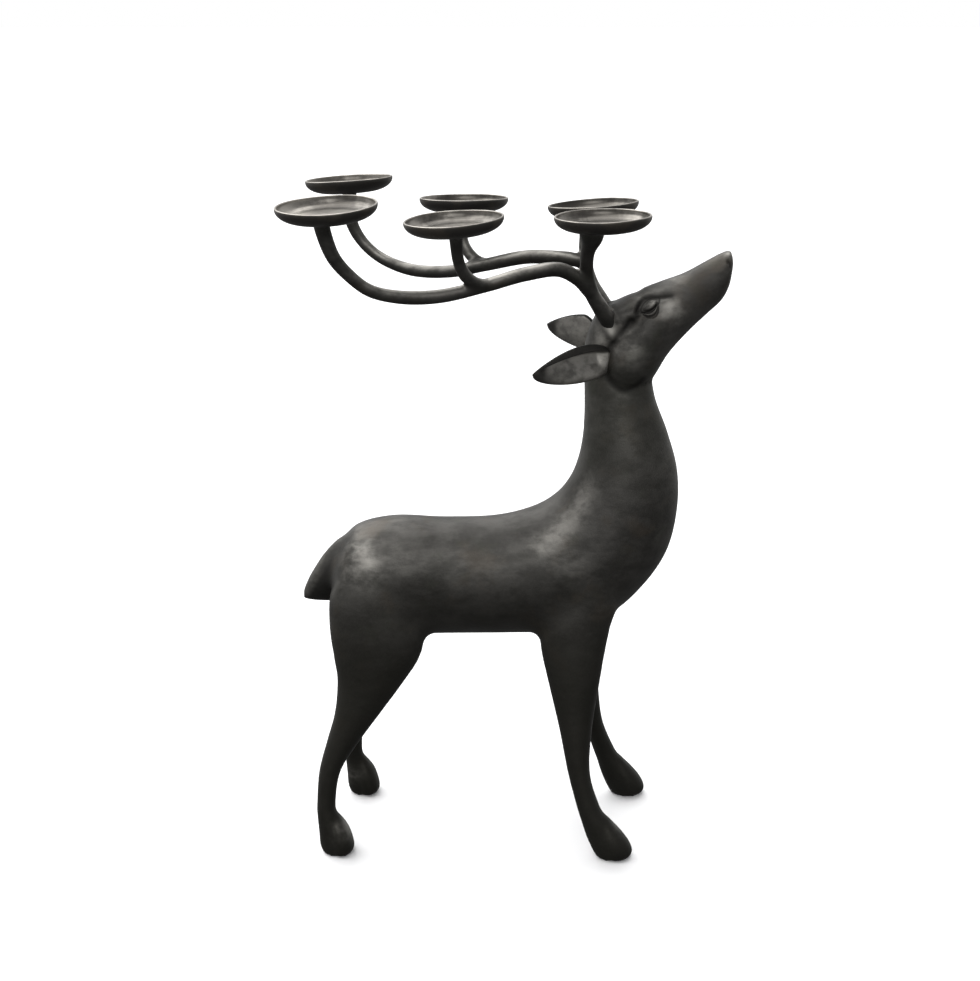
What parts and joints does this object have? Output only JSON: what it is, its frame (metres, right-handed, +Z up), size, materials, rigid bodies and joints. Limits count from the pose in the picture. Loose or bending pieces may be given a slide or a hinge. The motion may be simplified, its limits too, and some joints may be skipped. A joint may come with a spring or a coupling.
{
  "type": "stag candle holder",
  "caption": "Standing cast iron stag with its head raised and antlers swept back over its body, each antler carrying shallow candle dishes; stands on its own hooves.",
  "frame": {"origin": "on the floor under the middle of the object's box", "axes": "+Z up, +X the way the stag faces, +Y its left"},
  "size_m": [0.409, 0.3164, 0.6536],
  "materials": {
    "dark_iron": "dark brown-black patina, satin, rubbed a little lighter on the high places",
    "rubbed_iron": "patina rubbed back to pale grey inside the dish, dark underneath"
  },
  "bodies": {
    "root": {"stag_body": "dark_iron", "antler_right": "dark_iron", "dish_right_front": "rubbed_iron", "dish_right_middle": "rubbed_iron", "dish_right_back": "rubbed_iron", "antler_left": "dark_iron", "dish_left_front": "rubbed_iron", "dish_left_middle": "rubbed_iron", "dish_left_back": "rubbed_iron"}
  },
  "joints": []
}
